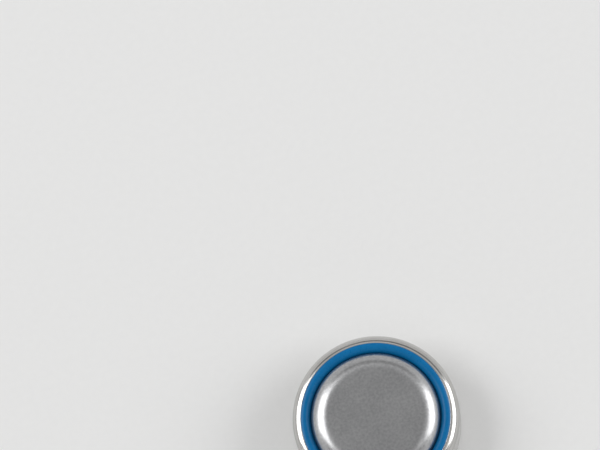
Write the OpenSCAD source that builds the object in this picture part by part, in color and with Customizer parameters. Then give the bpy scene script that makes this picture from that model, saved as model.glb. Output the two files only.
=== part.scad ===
// Silver oxide button cell: a crimped can, a seal and a cap closed round the two electrodes.
// Z is the axis. The positive face lies on Z = 0 and the negative face is on top.
// Every piece is a revolved half section, drawn with the radius along X and the height along Y.

/* [Cell] */
// Outside diameter of the can
cell_d = 9.5; // [8:0.1:12]
// Height from the positive face to the negative face
cell_h = 3.6; // [3.2:0.1:5.4]

/* [Positive can] */
// Thickness of the drawn sheet
can_sheet = 0.2; // [0.15:0.01:0.25]
// Outside radius of the corner between base and wall
base_corner_r = 0.4; // [0.3:0.01:0.6]
// Outside radius of the rolled-in lip
crimp_r = 0.6; // [0.5:0.01:0.7]
// Angle through which the lip is rolled in
crimp_angle = 82; // [75:1:88]

/* [Negative cap] */
// Thickness of the clad sheet
cap_sheet = 0.16; // [0.12:0.01:0.2]
// Height of the negative face above the top of the seal
cap_rise = 0.55; // [0.4:0.01:0.7]
// Outside radius of the shoulder round the negative face
shoulder_r = 1.15; // [0.9:0.01:1.4]
// Angle through which the shoulder falls before it turns into the wall
shoulder_angle = 60; // [50:1:75]
// Outside radius of the edge between shoulder and wall
shoulder_edge_r = 0.3; // [0.22:0.01:0.5]
// Angle of the slight break where the shoulder runs into that edge
shoulder_break = 4; // [3:0.5:8]
// Radius where the wall turns out into the hidden ledge
ledge_fillet_r = 0.12; // [0.08:0.01:0.16]
// Outside radius where the ledge turns down into the skirt
knee_r = 0.25; // [0.22:0.01:0.34]
// Height of the layer that is folded back up outside the skirt
fold_h = 0.5; // [0.3:0.01:0.7]

/* [Seal] */
// Width between the lip's edge and the cap's wall, where the seal shows
seal_show = 0.58; // [0.5:0.01:0.9]
// Height of the seal's bead above the lip
seal_proud = 0.06; // [0.02:0.01:0.1]
// Width of the open groove between the bead and the cap's wall, where it is narrowest
groove_w = 0.05; // [0.03:0.01:0.2]
// Depth of that groove below the top of the bead
groove_h = 0.4; // [0.15:0.01:0.45]
// Thickness between the can's wall and the cap's rim
seal_wall = 0.28; // [0.22:0.01:0.35]
// Thickness squeezed between the lip and the cap's ledge
seal_squeeze = 0.3; // [0.2:0.01:0.4]
// Thickness under the cap's rim
seal_foot = 0.2; // [0.12:0.01:0.3]
// Thickness of the upstand inside the cap's skirt
seal_upstand = 0.2; // [0.12:0.01:0.3]
// Height of that upstand above the bend of the rim
seal_upstand_h = 0.15; // [0.05:0.01:0.3]

/* [Electrodes and separator] */
// Height of the silver oxide pellet
pellet_h = 0.9; // [0.7:0.01:1.1]
// Thickness of the support ring's sheet
ring_sheet = 0.15; // [0.1:0.01:0.2]
// Outside radius of the support ring's bend
ring_bend_r = 0.25; // [0.21:0.01:0.35]
// Width of the support ring's flange
ring_flange = 0.75; // [0.5:0.01:1]
// Thickness of the barrier film
barrier_t = 0.08; // [0.04:0.01:0.12]
// Thickness of the absorbent pad
absorbent_t = 0.25; // [0.15:0.01:0.35]
// Radial clearance round the film and the pad
disc_clearance = 0.03; // [0.01:0.01:0.06]

/* [Hidden] */
$fn = 96;

// Rounds to a hundredth of a micrometre, so that shapes placed by an angle or a root meet their neighbours exactly
function settled(x) = round(x * 100000) / 100000;

// Radii, from the outside of the can inwards
can_r = cell_d / 2;
can_bore_r = can_r - can_sheet;
rim_r = can_bore_r - seal_wall;
skirt_r = rim_r - cap_sheet;
skirt_bore_r = skirt_r - cap_sheet;
seal_bore_r = skirt_bore_r - seal_upstand;

// Heights, from the base up to the rim of the cap
pellet_top = can_sheet + pellet_h;
barrier_top = pellet_top + barrier_t;
absorbent_top = barrier_top + absorbent_t;
rim_z = barrier_top + seal_foot;
fold_z = rim_z + cap_sheet;
upstand_top = fold_z + seal_upstand_h;

// Heights, from the negative face down to the ledge of the cap
seal_top = cell_h - cap_rise;
lip_top = seal_top - seal_proud;
ledge_top = lip_top - can_sheet - seal_squeeze;
groove_floor = seal_top - groove_h;

// Centres of the bends
base_corner = [can_r - base_corner_r, base_corner_r];
crimp = [can_r - crimp_r, lip_top - settled(crimp_r * sin(crimp_angle))];
lip_edge_r = crimp.x + settled(crimp_r * cos(crimp_angle));
cap_wall_r = lip_edge_r - seal_show;
edge_angle = shoulder_angle + shoulder_break;
shoulder_edge_run = [
    settled(shoulder_r * sin(shoulder_angle) - shoulder_edge_r * sin(edge_angle)),
    settled(shoulder_r * cos(shoulder_angle) - shoulder_edge_r * cos(edge_angle))
];
shoulder = [cap_wall_r - shoulder_edge_r - shoulder_edge_run.x, cell_h - shoulder_r];
shoulder_edge = shoulder + shoulder_edge_run;
ledge_fillet = [cap_wall_r + ledge_fillet_r, ledge_top + ledge_fillet_r];
knee_bend_r = min(knee_r, skirt_r - ledge_fillet.x); // no wider than the ledge leaves room for
knee = [skirt_r - knee_bend_r, ledge_top - knee_bend_r];
ring_bend = [can_bore_r - ring_bend_r, pellet_top - ring_bend_r];

// Bead of the seal, an arc that leaves the groove upright, rises to the top and meets the edge of the lip
bead_inner_r = cap_wall_r + groove_w;
bead_w = lip_edge_r - bead_inner_r;
bead_r = bead_w + seal_proud - settled(sqrt(2 * bead_w * seal_proud));
bead = [bead_inner_r + bead_r, seal_top - bead_r];

// Rectangle between two opposite corners
module strip(low, high) {
    translate(low)
        square(high - low);
}

// Part of a disc between two angles
module sector(centre, radius, from, to) {
    reach = 2 * radius;
    translate(centre)
        intersection() {
            circle(radius);
            polygon([[0, 0], for (a = [from, (from + to) / 2, to]) reach * [cos(a), sin(a)]]);
        }
}

// All that lies inside the can's outside surface moved in by inset, as if its lip closed to the axis
module can_fill(inset) {
    strip([0, inset], base_corner);
    sector(base_corner, base_corner_r - inset, 270, 360);
    strip([0, base_corner.y], [can_r - inset, crimp.y]);
    sector(crimp, crimp_r - inset, 0, 90);
    strip([0, crimp.y], crimp + [0, crimp_r - inset]);
}

// All that lies under the cap's outside surface moved in by inset, down to the bend of the rim
module cap_fill(inset) {
    strip([0, fold_z], [skirt_r - inset, knee.y]);
    sector(knee, knee_bend_r - inset, 0, 90);
    strip([0, knee.y], knee + [0, knee_bend_r - inset]);
    difference() {
        strip([cap_wall_r - inset, ledge_top - inset], ledge_fillet);
        sector(ledge_fillet, ledge_fillet_r + inset, 180, 270);
    }
    strip([0, ledge_top - inset], [cap_wall_r - inset, shoulder_edge.y]);
    difference() {
        intersection() {
            translate(shoulder)
                circle(shoulder_r - inset);
            strip([0, shoulder_edge.y], [can_r, cell_h]);
        }
        difference() {
            sector(shoulder_edge, 2 * shoulder_edge_r, 0, 90 - shoulder_angle);
            translate(shoulder_edge)
                circle(shoulder_edge_r - inset);
        }
    }
    strip([0, shoulder_edge.y], shoulder + [0, shoulder_r - inset]);
}

// Sheet of the can, open at the top inside the lip's cut edge
module can_section() {
    difference() {
        can_fill(0);
        can_fill(can_sheet);
        polygon([
            crimp,
            crimp + 2 * crimp_r * [cos(crimp_angle), sin(crimp_angle)],
            [0, cell_h],
            [0, crimp.y]
        ]);
    }
}

// Sheet of the cap, its rim folded back up against the outside of the skirt
module cap_section() {
    difference() {
        cap_fill(0);
        cap_fill(cap_sheet);
    }
    sector([skirt_r, fold_z], cap_sheet, 180, 360);
    strip([skirt_r, fold_z], [rim_r, fold_z + fold_h]);
}

// Sheet of the support ring, an angle that stands round the pellet's edge
module ring_section() {
    strip([can_bore_r - ring_sheet, base_corner.y], [can_bore_r, ring_bend.y]);
    difference() {
        sector(ring_bend, ring_bend_r, 0, 90);
        translate(ring_bend)
            circle(ring_bend_r - ring_sheet);
    }
    strip([can_bore_r - ring_flange, pellet_top - ring_sheet], ring_bend + [0, ring_bend_r]);
}

// Space for the zinc, from the absorbent pad up to the underside of the cap
module anode_bay() {
    strip([0, absorbent_top], [seal_bore_r, upstand_top]);
    intersection() {
        cap_fill(cap_sheet);
        strip([0, upstand_top], [can_r, cell_h]);
    }
}

// Collar of the seal: it stands on the ledge beside an open groove, and its round bead rises past the lip
module seal_collar() {
    strip([cap_wall_r, ledge_top], [bead.x, groove_floor]);
    intersection() {
        strip([bead_inner_r, ledge_top], [lip_edge_r, cell_h]);
        union() {
            strip([bead_inner_r, 0], [lip_edge_r, bead.y]);
            translate(bead)
                circle(bead_r);
        }
    }
}

// Moulded blank of the seal: the collar, and all that the can holds from the barrier up to the lip
module seal_blank() {
    seal_collar();
    intersection() {
        can_fill(can_sheet);
        union() {
            strip([seal_bore_r, barrier_top], [can_r, ledge_top]);
            strip([lip_edge_r, ledge_top], [can_r, cell_h]);
        }
    }
}

// Nickel-plated steel cup, the positive pole
module positive_can() {
    color([0.74, 0.75, 0.77])
        rotate_extrude()
            can_section();
}

// Nickel-plated ring that keeps the pellet's edge from crushing under the seal
module support_ring() {
    color([0.66, 0.66, 0.64])
        rotate_extrude()
            ring_section();
}

// Pressed silver oxide, which fills the bottom of the can and flows in under the ring
module cathode_pellet() {
    color([0.12, 0.12, 0.13])
        rotate_extrude()
            difference() {
                intersection() {
                    can_fill(can_sheet);
                    union() {
                        strip([0, 0], [can_r, base_corner.y]);
                        strip([0, 0], [can_bore_r - ring_sheet, pellet_top - ring_sheet]);
                        strip([0, 0], [can_bore_r - ring_flange, pellet_top]);
                    }
                }
                ring_section();
            }
}

// Membrane that lets no silver pass to the zinc
module barrier_film() {
    color([0.85, 0.78, 0.6])
        translate([0, 0, pellet_top])
            cylinder(h = barrier_t, r = can_bore_r - disc_clearance);
}

// Felt disc that holds the electrolyte
module absorbent_pad() {
    color([0.93, 0.92, 0.88])
        translate([0, 0, barrier_top])
            cylinder(h = absorbent_t, r = seal_bore_r - disc_clearance);
}

// Gelled zinc powder, which fills the cap
module zinc_anode() {
    color([0.45, 0.46, 0.48])
        rotate_extrude()
            anode_bay();
}

// Nylon seal, moulded in one piece and squeezed between can and cap
module gasket() {
    color([0.03, 0.38, 0.59])
        rotate_extrude()
            difference() {
                seal_blank();
                can_section();
                cap_section();
                anode_bay();
            }
}

// Clad steel cap, the negative pole
module negative_cap() {
    color([0.6, 0.6, 0.61])
        rotate_extrude()
            cap_section();
}

positive_can();
support_ring();
cathode_pellet();
barrier_film();
absorbent_pad();
zinc_anode();
gasket();
negative_cap();
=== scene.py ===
# %% [markdown]
# # A silver oxide button cell
# A watch cell shows three pieces: a drawn steel can, a ring of blue nylon and a stamped steel cap.
# Five more lie sealed inside. The CAD model is loaded first and stays fixed: it gives the sizes and
# places that everything below keeps to. The three pieces that show are then turned again as fine
# meshes, because bright metal shows every facet, and each piece gets a finish made from nodes.

# %% Load the frame
import math

import bmesh
import bpy
from mathutils import Matrix, Vector


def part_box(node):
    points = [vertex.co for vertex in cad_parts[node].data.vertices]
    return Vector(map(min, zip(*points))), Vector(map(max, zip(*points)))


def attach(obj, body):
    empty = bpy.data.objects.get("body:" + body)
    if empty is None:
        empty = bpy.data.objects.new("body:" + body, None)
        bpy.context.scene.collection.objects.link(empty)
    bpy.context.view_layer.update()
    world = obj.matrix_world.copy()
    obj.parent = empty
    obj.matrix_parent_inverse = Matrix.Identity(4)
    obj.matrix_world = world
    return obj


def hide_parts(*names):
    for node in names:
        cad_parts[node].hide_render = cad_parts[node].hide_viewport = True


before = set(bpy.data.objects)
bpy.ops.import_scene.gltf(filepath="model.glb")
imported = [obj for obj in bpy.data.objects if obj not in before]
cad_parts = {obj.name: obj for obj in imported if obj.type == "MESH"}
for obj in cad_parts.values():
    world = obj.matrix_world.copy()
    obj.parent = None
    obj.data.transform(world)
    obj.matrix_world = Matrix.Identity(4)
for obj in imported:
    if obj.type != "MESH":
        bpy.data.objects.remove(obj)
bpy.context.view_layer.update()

# %% [markdown]
# ## Sizes
# A turned piece is fully described by its half section, so only radii and heights are needed. They
# could all be typed in, but most of them can be read off the boxes of the CAD nodes, and then the
# meshes follow the frame if it changes. Bend radii and small steps don't show in a box. Those are
# written in millimetres in the cells that need them first.

# %% Sizes that the boxes hold
MM = 0.001


def box_mm(piece):
    """Lowest and highest corner of a CAD piece, in millimetres."""
    low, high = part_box(piece)
    return Vector(low) / MM, Vector(high) / MM


can_high = box_mm("positive_can")[1]
seal_low, seal_high = box_mm("gasket")
cap_low, cap_high = box_mm("negative_cap")
zinc_high = box_mm("zinc_anode")[1]
can_r, lip_top = can_high.x, can_high.z
bore_r, seal_base, seal_top = seal_high.x, seal_low.z, seal_high.z
rim_r, rim_z, cell_h = cap_high.x, cap_low.z, cap_high.z
can_sheet = can_r - bore_r
cap_sheet = cell_h - zinc_high.z
skirt_r = rim_r - cap_sheet
skirt_bore_r = skirt_r - cap_sheet
print(f"cell {2 * can_r:.2f} x {cell_h:.2f} mm, can sheet {can_sheet:.2f}, cap sheet {cap_sheet:.2f}")

# %% [markdown]
# ## Points of a section
# A half section is a list of points, each a radius and a height. A straight run needs only its ends,
# and a bend is an arc. Blender's curves could hold the same shape, but a plain list of points is
# easier to read and to use again in a second piece. Smooth shading blends the faces that meet at a
# point, so a flat would seem to curve towards its bend. One more point close to each end of a
# straight run prevents that.

# %% Points of a section
ARC_STEP = 4
HOLD = 0.03


def arc(centre, radius, start, end):
    """Points on a circle from one angle to another, in degrees, with both ends."""
    steps = max(3, round(abs(end - start) / ARC_STEP))
    turns = [math.radians(start + (end - start) * i / steps) for i in range(steps + 1)]
    return [(centre[0] + radius * math.cos(t), centre[1] + radius * math.sin(t)) for t in turns]


def hold_runs(section, closed):
    """The section with a point near both ends of every long straight run."""
    points = [Vector(p) for p in section]
    after = points[1:] + points[:1] if closed else points[1:]
    held = []
    for start, end in zip(points, after):
        run = end - start
        held.append(start)
        if run.length > 4 * HOLD:
            held += [start + run.normalized() * HOLD, end - run.normalized() * HOLD]
    return held if closed else held + [points[-1]]


print("a quarter bend has", len(arc((0, 0), 1, 0, 90)), "points")

# %% [markdown]
# ## The lathe
# All three pieces are round, so each is a half section swept round the axis, like work on a lathe.
# The Screw modifier could do this, but a small function gives full control of the rings. A section
# that starts and ends on the axis is closed there by two flat faces. A section that stays clear of
# the axis is joined to its own start and becomes a ring. Edges sharper than a set angle stay crisp.

# %% The lathe
SEGMENTS = 288
SHARP_ANGLE = math.radians(32)
ON_AXIS = 2 * HOLD


def lathe(name, section):
    """Turns a half section round Z into one smooth, closed mesh object."""
    is_ring = section[0][0] > ON_AXIS
    points = [p for p in hold_runs(section, is_ring) if p.x > ON_AXIS]
    turns = [2 * math.pi * i / SEGMENTS for i in range(SEGMENTS)]
    bm = bmesh.new()
    rings = []
    for r, z in points:
        rings.append([bm.verts.new((r * MM * math.cos(t), r * MM * math.sin(t), z * MM)) for t in turns])
    for near, far in zip(rings, rings[1:] + (rings[:1] if is_ring else [])):
        for i in range(SEGMENTS):
            bm.faces.new((near[i], near[i - 1], far[i - 1], far[i]))
    if not is_ring:
        bm.faces.new(rings[0])
        bm.faces.new(rings[-1])
    bmesh.ops.recalc_face_normals(bm, faces=bm.faces)
    mesh = bpy.data.meshes.new(name)
    bm.to_mesh(mesh)
    bm.free()
    mesh.shade_smooth()
    mesh.set_sharp_from_angle(angle=SHARP_ANGLE)
    piece = bpy.data.objects.new(name, mesh)
    bpy.context.scene.collection.objects.link(piece)
    return piece


print("lathe ready,", SEGMENTS, "segments a turn")

# %% [markdown]
# ## The can
# The can is the positive pole: one disc of nickel-plated steel, drawn to a cup and then rolled in at
# the mouth. A thin cup with a Solidify modifier could stand in for it. Here the section is drawn all
# round instead, so that the inside runs along the same bends with smaller radii and the seal has an
# exact surface to lie against. The sheared edge of the lip is slightly round, which gives it a fine
# bright line.

# %% Bends of the can
base_corner_r = 0.4
crimp_r = 0.6
crimp_angle = 82

base_corner = (can_r - base_corner_r, base_corner_r)
crimp = (can_r - crimp_r, lip_top - crimp_r * math.sin(math.radians(crimp_angle)))
lip_end_r = crimp[0] + crimp_r * math.cos(math.radians(crimp_angle))
print(f"lip: rolled in to a radius of {lip_end_r:.2f} mm")

# %% Edge of the lip
lip_edge_r = 0.035


def polar(centre, radius, angle):
    """Point at a distance and an angle in degrees from a centre."""
    turn = math.radians(angle)
    return centre[0] + radius * math.cos(turn), centre[1] + radius * math.sin(turn)


def lip_edge(radius, first, last):
    """Small round at one edge of the sheared lip, set back from its end by its own radius."""
    set_back = math.degrees(math.asin(lip_edge_r / radius))
    centre = polar(crimp, radius, crimp_angle - set_back)
    return arc(centre, lip_edge_r, crimp_angle + first, crimp_angle + last)


lip_outside = lip_edge(crimp_r - lip_edge_r, 0, 90)
lip_inside = lip_edge(crimp_r - can_sheet + lip_edge_r, 90, 180)
print("lip edge:", len(lip_outside) + len(lip_inside), "points")

# %% Section of the can
# The two bends of the lip stop some degrees early, which leaves room for the rounds at its edge.
outside_stop = crimp_angle - 6
inside_stop = crimp_angle - 8

can_section = [(0, 0)] + arc(base_corner, base_corner_r, -90, 0)
can_section += arc(crimp, crimp_r, 0, outside_stop) + lip_outside
can_section += lip_inside + arc(crimp, crimp_r - can_sheet, inside_stop, 0)
can_section += arc(base_corner, base_corner_r - can_sheet, 0, -90) + [(0, can_sheet)]
can_shell = lathe("can_shell", can_section)
print("can_shell:", len(can_shell.data.polygons), "faces")

# %% [markdown]
# ## Sign of the pole
# The base of such a can carries a stamped sign of its pole. A plus is generic, so it is sunk into the
# base as real geometry: a cutter with sloping sides and round corners, taken away with a Boolean.
# A bump map would look alike from afar, but it would be lost in the exported mesh.

# %% Cutter in the shape of a plus
plus_reach = 0.95
plus_half_w = 0.17
plus_depth = 0.05
plus_draft = 0.04
plus_corner_r = 0.09


def plus_outline(grow):
    """Twelve corners of a plus, wider all round by grow."""
    a, b = plus_half_w + grow, plus_reach + grow
    quarter = [(b, -a), (b, a), (a, a)]
    return [Matrix.Rotation(math.radians(90 * k), 2) @ Vector(p) for k in range(4) for p in quarter]


def plus_cutter():
    """Closed solid that reaches from below the base up to the floor of the stamp."""
    bm = bmesh.new()
    outlines = []
    for z, grow in ((-plus_depth, plus_draft), (plus_depth, -plus_draft)):
        outlines.append([bm.verts.new((p.x * MM, p.y * MM, z * MM)) for p in plus_outline(grow)])
    low, high = outlines
    bm.faces.new(low)
    bm.faces.new(high)
    sides = [bm.faces.new((low[i - 1], low[i], high[i], high[i - 1])) for i in range(len(low))]
    corners = [edge for edge in bm.edges if all(face in sides for face in edge.link_faces)]
    bmesh.ops.bevel(bm, geom=corners, offset=plus_corner_r * MM, segments=4, affect="EDGES", profile=0.5)
    bmesh.ops.recalc_face_normals(bm, faces=bm.faces)
    mesh = bpy.data.meshes.new("plus_cutter")
    bm.to_mesh(mesh)
    bm.free()
    cutter = bpy.data.objects.new("plus_cutter", mesh)
    bpy.context.scene.collection.objects.link(cutter)
    return cutter


cutter = plus_cutter()
print("plus_cutter:", len(cutter.data.polygons), "faces")

# %% Cut the stamp
stamp = can_shell.modifiers.new("stamp", "BOOLEAN")
stamp.object = cutter
stamp.solver = "EXACT"
depsgraph = bpy.context.evaluated_depsgraph_get()
stamped = bpy.data.meshes.new_from_object(can_shell.evaluated_get(depsgraph))
can_shell.modifiers.clear()
can_shell.data = stamped
stamped.name = "can_shell"
stamped.set_sharp_from_angle(angle=SHARP_ANGLE)
bpy.data.objects.remove(cutter)
print("can_shell with its stamp:", len(stamped.polygons), "faces")

# %% [markdown]
# ## The surface that cap and seal share
# The cap sits in the seal, pressed against it all the way: down the cap's wall, out along the hidden
# ledge, over the knee, down the folded rim and round its bend. Each piece could be drawn on its own,
# but then every change has to be made twice. Drawing the path once keeps the two face to face.

# %% Path of the seat
seal_show = 0.58
seal_squeeze = 0.3
ledge_fillet_r = 0.12
knee_r = 0.25
fold_h = 0.5

cap_wall_r = lip_end_r - seal_show
ledge_top = lip_top - can_sheet - seal_squeeze
ledge_fillet = (cap_wall_r + ledge_fillet_r, ledge_top + ledge_fillet_r)
knee = (skirt_r - knee_r, ledge_top - knee_r)
fold = (skirt_r, rim_z + cap_sheet)

seat = arc(ledge_fillet, ledge_fillet_r, 180, 270)
seat += arc(knee, knee_r, 90, 0)
seat += [(skirt_r, fold[1] + fold_h), (rim_r, fold[1] + fold_h)]
seat += arc(fold, cap_sheet, 0, -180)
print(f"seat path: {len(seat)} points, from the cap's wall at a radius of {cap_wall_r:.2f} mm")

# %% [markdown]
# ## The cap
# The cap is the negative pole, stamped from clad sheet. From the middle outwards it has a flat face, a
# wide round shoulder, a tighter edge, a short wall that drops into the seal, and then the hidden seat.
# A disc with a Bevel modifier would be quicker, but a bevel has one radius, and the light on the real
# cap shows two. They meet in a break of a few degrees, a faint line that the press leaves. Inside,
# the sheet runs back along the same bends, which stop just short of the break so that they don't
# cross.

# %% Bends of the cap
shoulder_r = 1.15
shoulder_angle = 60
shoulder_edge_r = 0.3
shoulder_break = 4

lean = math.radians(shoulder_angle)
edge_lean = math.radians(shoulder_angle + shoulder_break)
edge_run_r = shoulder_r * math.sin(lean) - shoulder_edge_r * math.sin(edge_lean)
edge_run_z = shoulder_r * math.cos(lean) - shoulder_edge_r * math.cos(edge_lean)
shoulder = (cap_wall_r - shoulder_edge_r - edge_run_r, cell_h - shoulder_r)
shoulder_edge = (cap_wall_r - shoulder_edge_r, shoulder[1] + edge_run_z)
print(f"flat of the cap: {2 * shoulder[0]:.2f} mm across")

# %% Section of the cap
steep = 90 - shoulder_angle
cap_section = [(0, cell_h)] + arc(shoulder, shoulder_r, 90, steep)[:-1]
cap_section += arc(shoulder_edge, shoulder_edge_r, steep - shoulder_break, 0) + seat
cap_section += arc(knee, knee_r - cap_sheet, 0, 90)
cap_section += arc(ledge_fillet, ledge_fillet_r + cap_sheet, 270, 180)
cap_section += arc(shoulder_edge, shoulder_edge_r - cap_sheet, 0, steep - 2 * shoulder_break)
cap_section += arc(shoulder, shoulder_r - cap_sheet, steep + shoulder_break, 90)
cap_section += [(0, cell_h - cap_sheet)]
cap_shell = lathe("cap_shell", cap_section)
print("cap_shell:", len(cap_shell.data.polygons), "faces")

# %% [markdown]
# ## The seal
# The seal is moulded nylon with a J section. Only its collar shows, between the lip and the cap. The
# crimp squeezes it up into a round bead that stands a little above the lip, and a narrow groove parts
# the bead from the cap. A torus could stand in for the part that shows, but it would cut into the lip
# and have nothing under the cap, so the whole section is drawn. The bead is the circle that touches
# the groove's side and the seal's top, and runs through the corner where the lip ends.

# %% Bead and groove of the seal
groove_w = 0.05
groove_h = 0.4

bead_inner_r = cap_wall_r + groove_w
bead_w = lip_end_r - bead_inner_r
seal_proud = seal_top - lip_top
bead_r = bead_w + seal_proud - math.sqrt(2 * bead_w * seal_proud)
bead = (bead_inner_r + bead_r, seal_top - bead_r)
bead_start = math.degrees(math.acos((lip_end_r - bead[0]) / bead_r))
groove_floor = seal_top - groove_h
print(f"bead: radius {bead_r:.2f} mm over a width of {bead_w:.2f} mm")

# %% Section of the seal
seal_upstand = 0.2
seal_upstand_h = 0.15
seal_bore_r = skirt_bore_r - seal_upstand
upstand_top = fold[1] + seal_upstand_h

seal_section = [(seal_bore_r, seal_base), (bore_r, seal_base)]
seal_section += arc(crimp, crimp_r - can_sheet, 0, crimp_angle)
seal_section += arc(bead, bead_r, bead_start, 180)
seal_section += [(bead_inner_r, groove_floor), (cap_wall_r, groove_floor)]
seal_section += seat + [(skirt_bore_r, upstand_top), (seal_bore_r, upstand_top)]
seal_ring = lathe("seal_ring", seal_section)
print("seal_ring:", len(seal_ring.data.polygons), "faces")

# %% [markdown]
# ## Squeeze of the collar
# No collar is squeezed up evenly. Its top rises and falls by a few thousandths of a millimetre, which
# is enough to break the gloss a little. A Displace modifier with a texture could do this. A sum of
# sines is simpler: each has a whole number of waves in a turn, so the ring closes without a step.
# The waves fade out towards the lip, where the seal is held.

# %% Squeeze of the collar
# Each wave has a number of crests in a turn, a start angle and a height in millimetres.
squeeze_waves = ((3, 0.4, 0.004), (7, 1.9, 0.003), (16, 0.8, 0.0015))


def squeeze(angle):
    """Height of all waves together at an angle round the axis, in millimetres."""
    return sum(high * math.sin(crests * angle + start) for crests, start, high in squeeze_waves)


moved = 0
for vertex in seal_ring.data.vertices:
    rise = (vertex.co.z / MM - lip_top) / (seal_top - lip_top)
    if rise > 0:
        vertex.co.z += rise * MM * squeeze(math.atan2(vertex.co.y, vertex.co.x))
        moved += 1
print("collar:", moved, "points moved")

# %% [markdown]
# ## Helpers for nodes
# A finish is a small network of nodes. In the Shader Editor it is wired by hand. Written out in full
# in a script it is hard to read, so one helper makes a node and fills its sockets: a plain value is
# set on the socket, and another node's output is linked. The other helpers wrap the nodes that are
# used most.

# %% Node helpers
def node(tree, kind, inputs=None, **settings):
    """A new node with its settings, its socket values and its links."""
    made = tree.nodes.new(kind)
    for name, value in settings.items():
        setattr(made, name, value)
    for name, value in (inputs or {}).items():
        if isinstance(value, bpy.types.NodeSocket):
            tree.links.new(value, made.inputs[name])
        else:
            made.inputs[name].default_value = value
    return made


def math_node(tree, operation, *values):
    """Output of a Math node."""
    return node(tree, "ShaderNodeMath", dict(enumerate(values)), operation=operation).outputs[0]


def mapped(tree, value, low, high, to_low=0.0, to_high=1.0):
    """A value moved smoothly from one range to another and kept inside it."""
    ends = {"Value": value, "From Min": low, "From Max": high, "To Min": to_low, "To Max": to_high}
    return node(tree, "ShaderNodeMapRange", ends, interpolation_type="SMOOTHSTEP").outputs[0]


print("node helpers ready")

# %% [markdown]
# ## Effects that several finishes share
# Rolled sheet, drawn steel and moulded nylon all have a fine grain, slow changes of tone and a few
# marks. These nodes could be repeated in every material. Here each effect is a node group, built once,
# with its size in millimetres as an input. A group puts out one value that changes over the surface,
# and every material uses it with its own numbers. Noise in three dimensions is at the root of most of
# them, because it needs no unwrapped surface and has no seam.

# %% Helpers for groups
def new_group(name, inputs, output):
    """An empty shader node group with named inputs, floats or vectors, and one float output."""
    tree = bpy.data.node_groups.new(name, "ShaderNodeTree")
    for label, value in inputs.items():
        kind = "NodeSocketVector" if isinstance(value, tuple) else "NodeSocketFloat"
        tree.interface.new_socket(label, in_out="INPUT", socket_type=kind).default_value = value
    tree.interface.new_socket(output, in_out="OUTPUT", socket_type="NodeSocketFloat")
    return tree, tree.nodes.new("NodeGroupInput").outputs, tree.nodes.new("NodeGroupOutput").inputs


def millimetres(tree):
    """The surface point in millimetres, which puts every texture at its real scale."""
    place = node(tree, "ShaderNodeTexCoord").outputs["Object"]
    return node(tree, "ShaderNodeVectorMath", {0: place, "Scale": 1 / MM}, operation="SCALE").outputs[0]


def stretched(tree, place, factors):
    """A point with each coordinate multiplied by a factor: below 1 draws a texture out that way."""
    return node(tree, "ShaderNodeVectorMath", {0: place, 1: factors}, operation="MULTIPLY").outputs[0]


def noise(tree, place, per_mm, detail, roughness=0.5):
    """Soft noise around one half, with a number of patches to the millimetre."""
    values = {"Vector": place, "Scale": per_mm, "Detail": detail, "Roughness": roughness}
    return node(tree, "ShaderNodeTexNoise", values).outputs["Fac"]


print("group helpers ready")

# %% [markdown]
# ### Fine grain
# Rolled metal, moulded plastic, felt and pressed powder all have a fine uneven relief. Real geometry
# would need millions of faces. Noise that a Bump node takes as a height looks the same from here.
# Drawn out along one axis, the grains become lines, such as those that drawing leaves on a can.

# %% Group for fine grain
grain_group, ins, outs = new_group("fine_grain", {"Grain": 0.05, "Stretch": (1.0, 1.0, 1.0)}, "Height")
place = stretched(grain_group, millimetres(grain_group), ins["Stretch"])
grain = noise(grain_group, place, math_node(grain_group, "DIVIDE", 1.0, ins["Grain"]), 3.0)
grain_group.links.new(grain, outs["Height"])
print("group:", grain_group.name, "with", len(grain_group.nodes), "nodes")

# %% [markdown]
# ### Slow changes of tone
# No surface has quite one tone: rolling, plating and handling leave faint clouds. They could be
# painted, but noise with larger patches is enough. A smooth Map Range spreads its middle values over
# the whole span from 0 to 1.

# %% Group for slow changes of tone
tone_group, ins, outs = new_group("uneven_tone", {"Patch": 1.5}, "Tone")
per_mm = math_node(tone_group, "DIVIDE", 1.0, ins["Patch"])
patches = noise(tone_group, millimetres(tone_group), per_mm, 4.0, 0.6)
tone_group.links.new(mapped(tone_group, patches, 0.3, 0.7), outs["Tone"])
print("group:", tone_group.name, "with", len(tone_group.nodes), "nodes")

# %% [markdown]
# ### Turned lines
# A die that runs round a lip, or a mould that was cut on a lathe, leaves fine rings. The Wave texture
# can draw rings, but they are all alike. Noise that is looked up by radius and height gives uneven
# ones, and a slow drift across the piece keeps them from being perfect circles.

# %% Group for turned lines
turned_group, ins, outs = new_group("turned_lines", {"Pitch": 0.05}, "Height")
point = node(turned_group, "ShaderNodeSeparateXYZ", {0: millimetres(turned_group)}).outputs
flat_point = node(turned_group, "ShaderNodeCombineXYZ", {"X": point["X"], "Y": point["Y"]}).outputs[0]
radius = node(turned_group, "ShaderNodeVectorMath", {0: flat_point}, operation="LENGTH").outputs["Value"]
drift = math_node(turned_group, "MULTIPLY", math_node(turned_group, "ADD", point["X"], point["Y"]), 0.02)
place = node(turned_group, "ShaderNodeCombineXYZ", {"X": radius, "Y": point["Z"], "Z": drift}).outputs[0]
rings = noise(turned_group, place, math_node(turned_group, "DIVIDE", 1.0, ins["Pitch"]), 2.0)
turned_group.links.new(rings, outs["Height"])
print("group:", turned_group.name, "with", len(turned_group.nodes), "nodes")

# %% [markdown]
# ### Hairlines
# A flat that gets rubbed carries a few long, thin scratches. They could be drawn one by one. Noise
# gives them for nothing: where a drawn-out noise passes through its middle value, there is a thin
# line. A second, slower noise keeps the lines in some places and drops them in others.

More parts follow.
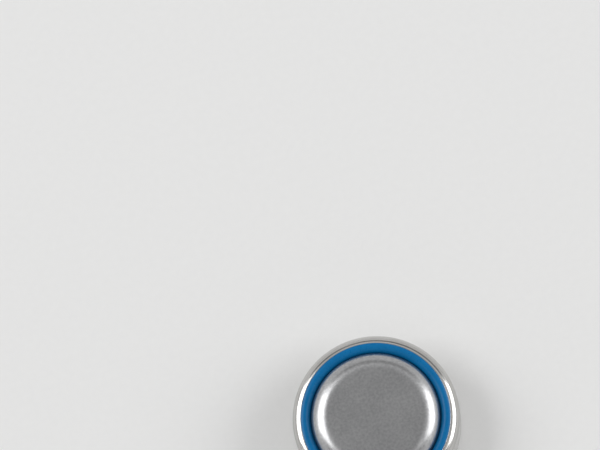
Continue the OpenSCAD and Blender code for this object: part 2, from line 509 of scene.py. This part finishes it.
# %% Group for hairlines
hairline_group, ins, outs = new_group("hairlines", {"Spacing": 0.6, "Turn": 0.3, "Width": 0.02}, "Mask")
turning = {"Vector": millimetres(hairline_group), "Angle": ins["Turn"]}
turned = node(hairline_group, "ShaderNodeVectorRotate", turning, rotation_type="Z_AXIS").outputs[0]
drawn_out = stretched(hairline_group, turned, (0.06, 1.0, 1.0))
wander = noise(hairline_group, drawn_out, math_node(hairline_group, "DIVIDE", 1.0, ins["Spacing"]), 1.0)
from_middle = math_node(hairline_group, "SUBTRACT", wander, 0.5)
line = mapped(hairline_group, math_node(hairline_group, "ABSOLUTE", from_middle), ins["Width"], 0.0)
kept = mapped(hairline_group, noise(hairline_group, turned, 0.9, 1.0), 0.5, 0.62)
hairline_group.links.new(math_node(hairline_group, "MULTIPLY", line, kept), outs["Mask"])
print("group:", hairline_group.name, "with", len(hairline_group.nodes), "nodes")

# %% [markdown]
# ### A band of heights
# Some marks lie on one part of a piece only, such as the lip or the base. A painted mask could say
# where. All pieces share one axis and one zero level here, so the height alone is enough. The mask
# goes smoothly from 0 at one height to 1 at the other, upwards or downwards.

# %% Group for a band of heights
band_group, ins, outs = new_group("height_band", {"From": 2.0, "To": 2.4}, "Mask")
level = node(band_group, "ShaderNodeSeparateXYZ", {0: millimetres(band_group)}).outputs["Z"]
band_group.links.new(mapped(band_group, level, ins["From"], ins["To"]), outs["Mask"])
print("group:", band_group.name, "with", len(band_group.nodes), "nodes")

# %% [markdown]
# ## Helpers for a finish
# Every finish is made in the same way. What is constant, such as being metal, is set on the sockets
# of the Principled shader. What changes over the surface comes from a function that wires the effects
# and says which socket each result feeds. Materials could also be copied and changed by hand, but
# then it's hard to see where they differ.

# %% Helpers for a finish
def effect(tree, group, **inputs):
    """Output of a shared effect, placed in a material with its own values."""
    return node(tree, "ShaderNodeGroup", inputs, node_tree=group).outputs[0]


def blend_values(tree, factor, first, second):
    """A value between two, picked by a factor."""
    return node(tree, "ShaderNodeMix", {0: factor, 2: first, 3: second}).outputs[0]


def blend_colours(tree, factor, dark, light):
    """A colour between two, picked by a factor."""
    ends = {0: factor, 6: (*dark, 1.0), 7: (*light, 1.0)}
    return node(tree, "ShaderNodeMix", ends, data_type="RGBA").outputs[2]


def bump(tree, height, depth_mm):
    """Normal of a relief of a given depth."""
    relief = {"Height": height, "Distance": depth_mm * MM, "Strength": 1.0}
    return node(tree, "ShaderNodeBump", relief).outputs[0]


def new_finish(name, constants, links):
    """A material whose shader has some constant values and some linked ones."""
    material = bpy.data.materials.new(name)
    material.use_nodes = True
    tree = material.node_tree
    shader = tree.nodes["Principled BSDF"]
    for label, value in constants.items():
        shader.inputs[label].default_value = value
    for label, output in links(tree).items():
        tree.links.new(output, shader.inputs[label])
    print("finish:", name, "with", len(tree.nodes), "nodes")
    return material


def dress(piece, material, replaced):
    """Gives a new piece its finish, hangs it under the root and hides the CAD piece that it replaces."""
    piece.data.materials.clear()
    piece.data.materials.append(material)
    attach(piece, "root")
    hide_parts(replaced)


print("finish helpers ready")

# %% [markdown]
# ## Nickel plate on the can
# Nickel is a warm grey metal. Drawing leaves fine upright lines on the wall, and the crimping die
# burnishes rings round the rolled lip. Anisotropic shading could suggest such lines, but bump shows
# each one when the view comes close. They are about a thousandth of a millimetre deep, so they are a
# relief in the material and a trace of tone, not geometry. A band of heights fades one kind into the
# other. Hairlines lie only on the base, the one flat of the can that gets rubbed.

# %% Finish of the can
def nickel_plate(tree):
    """Bright plate with upright lines on the wall, rings on the lip and hairlines on the base."""
    tone = effect(tree, tone_group, Patch=1.8)
    drawn = effect(tree, grain_group, Grain=0.07, Stretch=(1.0, 1.0, 0.025))
    burnished = effect(tree, turned_group, Pitch=0.06)
    on_lip = effect(tree, band_group, From=crimp[1] - 0.25, To=crimp[1] + 0.1)
    lines = blend_values(tree, on_lip, drawn, burnished)
    shade = blend_values(tree, 0.4, tone, mapped(tree, lines, 0.35, 0.65))
    scratches = effect(tree, hairline_group, Spacing=0.5, Turn=0.7, Width=0.012)
    on_base = effect(tree, band_group, From=0.1, To=0.02)
    marks = math_node(tree, "MULTIPLY", scratches, on_base)
    unmarked = mapped(tree, tone, 0.0, 1.0, 0.13, 0.19)
    return {
        "Base Color": blend_colours(tree, shade, (0.525, 0.52, 0.506), (0.63, 0.625, 0.611)),
        "Roughness": math_node(tree, "MULTIPLY_ADD", marks, 0.12, unmarked),
        "Normal": bump(tree, lines, 0.0011),
    }


can_finish = new_finish("nickel_plate", {"Metallic": 1.0}, nickel_plate)
dress(can_shell, can_finish, "positive_can")

# %% [markdown]
# ## Satin face of the cap
# The cap's sheet is rolled and left satin: it scatters reflections softly instead of mirroring them.
# A higher roughness alone would do that, but the face would look sprayed. So the grain is there as a
# very fine relief, partly drawn out along the rolling direction. A fine mottling of the tone breaks
# up the grey, and a few hairlines from handling catch the light on the flat.

# %% Finish of the cap
def satin_clad(tree):
    """Satin sheet with a rolled grain, a mottled tone and hairlines on its flat."""
    cloud = effect(tree, tone_group, Patch=1.4)
    mottle = effect(tree, tone_group, Patch=0.15)
    tone = blend_values(tree, 0.3, mottle, cloud)
    grain = effect(tree, grain_group, Grain=0.06)
    rolled = effect(tree, grain_group, Grain=0.035, Stretch=(0.12, 1.0, 1.0))
    relief = math_node(tree, "MULTIPLY_ADD", rolled, 0.6, grain)
    scratches = effect(tree, hairline_group, Spacing=0.45, Turn=1.1, Width=0.01)
    on_face = effect(tree, band_group, From=cell_h - 0.1, To=cell_h - 0.02)
    marks = math_node(tree, "MULTIPLY", scratches, on_face)
    unmarked = mapped(tree, grain, 0.3, 0.7, 0.28, 0.34)
    return {
        "Base Color": blend_colours(tree, tone, (0.395, 0.397, 0.406), (0.55, 0.552, 0.556)),
        "Roughness": math_node(tree, "MULTIPLY_ADD", marks, 0.04, unmarked),
        "Normal": bump(tree, relief, 0.0009),
    }


cap_finish = new_finish("satin_clad", {"Metallic": 1.0}, satin_clad)
dress(cap_shell, cap_finish, "negative_cap")

# %% [markdown]
# ## Blue nylon of the seal
# Nylon comes out of its mould with a half gloss. Subsurface scattering could let light into it, but a
# colour this deep swallows nearly all of that. The colour is even but not dead: slow changes of tone,
# the mould's fine rings and a faint skin keep it from looking like paint.

# %% Finish of the seal
def blue_nylon(tree):
    """Half gloss nylon with a faint skin and the rings of its mould."""
    tone = effect(tree, tone_group, Patch=0.9)
    skin = effect(tree, grain_group, Grain=0.11)
    moulded = effect(tree, turned_group, Pitch=0.09)
    relief = math_node(tree, "MULTIPLY_ADD", moulded, 0.5, skin)
    return {
        "Base Color": blend_colours(tree, tone, (0.0004, 0.136, 0.345), (0.001, 0.152, 0.38)),
        "Roughness": mapped(tree, skin, 0.3, 0.7, 0.26, 0.36),
        "Normal": bump(tree, relief, 0.0016),
    }


seal_finish = new_finish("blue_nylon", {"IOR": 1.53, "Specular IOR Level": 0.2}, blue_nylon)
dress(seal_ring, seal_finish, "gasket")

# %% [markdown]
# ## The sealed pieces
# Five pieces never show in a whole cell, but the model can be cut open, so each has the look of what
# it is. Their shapes could be turned again too. They are simple and mostly dull, so no facet of the
# CAD meshes shows, and those meshes stay and only get a finish.

# %% Dress a sealed piece
def dress_sealed(name, material):
    """Gives a CAD piece that keeps its own mesh a finish."""
    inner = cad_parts[name]
    inner.data.materials.clear()
    inner.data.materials.append(material)
    print(name, "keeps its", len(inner.data.polygons), "faces")


print("helper for sealed pieces ready")

# %% [markdown]
# ### Silver oxide
# The pellet is black powder, pressed hard, with graphite mixed in so that it conducts. Its flakes are
# too small to be geometry. The highest peaks of a fine noise pick out the few that glint.

# %% Finish of the pellet
def pressed_oxide(tree):
    """Black powder with grey flakes of graphite."""
    powder = effect(tree, grain_group, Grain=0.07)
    flakes = mapped(tree, effect(tree, grain_group, Grain=0.03), 0.58, 0.68)
    return {
        "Base Color": blend_colours(tree, flakes, (0.018, 0.018, 0.02), (0.11, 0.11, 0.115)),
        "Roughness": mapped(tree, powder, 0.3, 0.7, 0.5, 0.8),
        "Normal": bump(tree, powder, 0.008),
    }


dress_sealed("cathode_pellet", new_finish("pressed_oxide", {"Metallic": 0.0}, pressed_oxide))

# %% [markdown]
# ### Dull nickel
# The support ring is plated steel that nobody polishes. The can's finish could be used again, but it
# is too bright, so the same effects are placed with other numbers.

# %% Finish of the support ring
def dull_nickel(tree):
    """Dull plate with upright lines."""
    tone = effect(tree, tone_group, Patch=1.5)
    drawn = effect(tree, grain_group, Grain=0.08, Stretch=(1.0, 1.0, 0.04))
    return {
        "Base Color": blend_colours(tree, tone, (0.53, 0.52, 0.5), (0.6, 0.59, 0.57)),
        "Roughness": mapped(tree, tone, 0.0, 1.0, 0.24, 0.34),
        "Normal": bump(tree, drawn, 0.002),
    }


dress_sealed("support_ring", new_finish("dull_nickel", {"Metallic": 1.0}, dull_nickel))

# %% [markdown]
# ### Brown film
# The barrier is a thin brownish film, half clear in the real cell. Transmission could show that, but
# the film lies pressed between a black pellet and a pale pad, so a plain brown reads the same.
# Long shallow wrinkles are a grain of large size.

# %% Finish of the barrier film
def brown_film(tree):
    """Smooth brown film with long shallow wrinkles."""
    tone = effect(tree, tone_group, Patch=2.2)
    wrinkles = effect(tree, grain_group, Grain=0.7, Stretch=(1.0, 0.4, 1.0))
    return {
        "Base Color": blend_colours(tree, tone, (0.55, 0.43, 0.2), (0.68, 0.57, 0.33)),
        "Roughness": mapped(tree, tone, 0.0, 1.0, 0.28, 0.4),
        "Normal": bump(tree, wrinkles, 0.01),
    }


dress_sealed("barrier_film", new_finish("brown_film", {"IOR": 1.5}, brown_film))

# %% [markdown]
# ### Wet felt
# The pad is felt that holds the electrolyte. Blender's hair could make every fibre, but the pad is
# only a quarter of a millimetre thick. Two grains, drawn out across each other, look like a mat:
# at each point the higher of the two is the fibre on top.

# %% Finish of the pad
def wet_felt(tree):
    """Pale mat of fibres that cross, with painted shade where they lie lower."""
    one_way = effect(tree, grain_group, Grain=0.05, Stretch=(0.1, 1.0, 1.0))
    other_way = effect(tree, grain_group, Grain=0.05, Stretch=(1.0, 0.1, 1.0))
    fibres = math_node(tree, "MAXIMUM", one_way, other_way)
    # Higher fibres are painted paler and lower ones darker: this is painted shade between the fibres.
    lit = mapped(tree, fibres, 0.45, 0.7)
    return {
        "Base Color": blend_colours(tree, lit, (0.56, 0.54, 0.48), (0.8, 0.79, 0.74)),
        "Roughness": mapped(tree, fibres, 0.4, 0.7, 0.75, 0.95),
        "Normal": bump(tree, fibres, 0.03),
    }


dress_sealed("absorbent_pad", new_finish("wet_felt", {"IOR": 1.4}, wet_felt))

# %% [markdown]
# ### Zinc grains
# The anode is zinc powder in a stiff gel: bright grains in a dull grey. Two materials could be mixed,
# but one noise is enough. Where a grain stands out of the gel, the tone, the metal and the gloss go
# up together.

# %% Finish of the anode
def zinc_grains(tree):
    """Grey gel with grains of bare metal."""
    grains = effect(tree, grain_group, Grain=0.14)
    bare = mapped(tree, grains, 0.45, 0.6)
    return {
        "Base Color": blend_colours(tree, bare, (0.15, 0.155, 0.165), (0.42, 0.43, 0.45)),
        "Metallic": mapped(tree, grains, 0.45, 0.6, 0.1, 0.9),
        "Roughness": mapped(tree, grains, 0.3, 0.7, 0.65, 0.4),
        "Normal": bump(tree, grains, 0.02),
    }


dress_sealed("zinc_anode", new_finish("zinc_grains", {"IOR": 1.4}, zinc_grains))

# %% [markdown]
# ## Floor
# The cell lies on a plain pale floor. A backdrop that curves up behind the object is the usual way in
# a studio, but the view is almost straight down and never meets a horizon, so one flat face will do.
# It lies a hair below the base, because two faces in one plane would flicker.

# %% Floor
floor_half = 1.5
floor_drop = 0.005


def pale_floor(tree):
    """Matt off-white with a faint grain."""
    fibre = effect(tree, grain_group, Grain=0.4)
    return {
        "Base Color": blend_colours(tree, fibre, (0.81, 0.81, 0.805), (0.84, 0.84, 0.835)),
        "Roughness": mapped(tree, fibre, 0.3, 0.7, 0.85, 0.95),
    }


bm = bmesh.new()
bmesh.ops.create_grid(bm, x_segments=1, y_segments=1, size=floor_half)
floor_mesh = bpy.data.meshes.new("floor")
bm.to_mesh(floor_mesh)
bm.free()
floor = bpy.data.objects.new("floor", floor_mesh)
floor.location.z = -floor_drop * MM
bpy.context.scene.collection.objects.link(floor)
floor_mesh.materials.append(new_finish("pale_floor", {"Specular IOR Level": 0.2}, pale_floor))
print("floor:", 2 * floor_half, "m wide")

# %% [markdown]
# ## World
# Metal has hardly any look of its own: it shows what is round it. A sky picture would put foreign
# shapes on it, so the world is a plain dome of greys, picked by height with a Color Ramp. The middle
# grey overhead is what makes the satin cap read as grey. A dark band a third of the way up, between
# two pale ones, draws the fine dark arc along the far side of the cap's shoulder.

# %% World
# Each pair is a height, from 0 at the horizon to 1 straight up, and a grey.
dome_greys = (
    (0.0, 0.34),
    (0.12, 0.76),
    (0.36, 0.69),
    (0.55, 0.035),
    (0.75, 0.8),
    (0.9, 0.4),
    (1.0, 0.34),
)

dome = bpy.data.worlds.new("dome")
bpy.context.scene.world = dome
dome.use_nodes = True
sky = dome.node_tree
direction = node(sky, "ShaderNodeTexCoord").outputs["Generated"]
height = node(sky, "ShaderNodeSeparateXYZ", {0: direction}).outputs["Z"]
ramp = node(sky, "ShaderNodeValToRGB", {"Fac": height})
while len(ramp.color_ramp.elements) < len(dome_greys):
    ramp.color_ramp.elements.new(0.5)
for stop, (place, grey) in zip(ramp.color_ramp.elements, dome_greys):
    stop.position = place
    stop.color = (grey, grey, grey, 1.0)
sky.links.new(ramp.outputs["Color"], sky.nodes["Background"].inputs["Color"])
print("dome:", len(dome_greys), "greys from horizon to zenith")

# %% [markdown]
# ## Two softboxes
# The bright crescents on the shoulder and on the lip are the mirrored shapes of two large soft
# lights, one on each side. A sun or a point lamp would leave hard spots there instead. Each light is
# given as the window of the sky that it fills, in degrees, because that is what the metal shows. They
# are hidden from the camera itself, but metal still mirrors them.

# %% Softboxes
softbox_reach = 0.4


def softbox(name, azimuth, low, high, spread, radiance):
    """A large area light that fills a window of directions, seen from the cell."""
    middle = math.radians((low + high) / 2)
    turn = math.radians(azimuth)
    sideways = math.cos(middle)
    away = Vector((math.cos(turn) * sideways, math.sin(turn) * sideways, math.sin(middle)))
    lamp = bpy.data.lights.new(name, "AREA")
    lamp.shape = "RECTANGLE"
    lamp.size = 2 * softbox_reach * math.tan(math.radians(spread / 2))
    lamp.size_y = 2 * softbox_reach * math.tan(math.radians((high - low) / 2))
    # A lamp looks as bright as its watts divided by four times its area.
    lamp.energy = radiance * 4 * lamp.size * lamp.size_y
    holder = bpy.data.objects.new(name, lamp)
    holder.location = away * softbox_reach
    holder.rotation_euler = away.to_track_quat("Z", "Y").to_euler()
    holder.visible_camera = False
    bpy.context.scene.collection.objects.link(holder)
    print(f"{name}: {lamp.size:.2f} x {lamp.size_y:.2f} m, {lamp.energy:.2f} W")


softbox("left_softbox", azimuth=150, low=22, high=58, spread=37, radiance=2.45)
softbox("right_softbox", azimuth=-2, low=15, high=45, spread=41, radiance=2.8)

# %% [markdown]
# ## Camera
# The view is almost straight down, with a long lens from a quarter of a metre away. The cell lies low
# in the picture and runs off its lower edge. The lens could be shifted for that. Instead the camera
# looks past the cell at the middle of the picture, so the shift stays at zero and the numbers are
# easy to follow: where the cell lies, how wide it is, and how the view leans and rolls.

# %% Camera
image_w, image_h = 600, 450
cell_px = (376.7, 420.3)
can_width_px = 167.2
view_elevation = 76.2
view_roll = -17.0
view_distance = 250.0

camera_data = bpy.data.cameras.new("camera")
camera_data.sensor_fit = "HORIZONTAL"
camera_data.sensor_width = 36.0
px_per_mm = can_width_px / (2 * can_r)
camera_data.lens = px_per_mm * view_distance * camera_data.sensor_width / image_w

lean_back = Matrix.Rotation(math.radians(90 - view_elevation), 3, "X")
turned_view = lean_back @ Matrix.Rotation(math.radians(view_roll), 3, "Z")
across = (image_w / 2 - cell_px[0]) / px_per_mm
upwards = (cell_px[1] - image_h / 2) / px_per_mm
eye = Vector((0, 0, cell_h / 2)) + turned_view @ Vector((across, upwards, view_distance))

camera = bpy.data.objects.new("camera", camera_data)
camera.matrix_world = Matrix.Translation(eye * MM) @ turned_view.to_4x4()
bpy.context.scene.collection.objects.link(camera)
bpy.context.scene.camera = camera
bpy.context.scene.view_settings.view_transform = "Standard"
print(f"camera: {camera_data.lens:.0f} mm lens, {view_distance:.0f} mm away")

# %% [markdown]
# ## Last update
# The view layer is updated once more, so that every piece stands in its final place. The dressed model
# has to stay in the CAD model's box.

# %% Last update
bpy.context.view_layer.update()
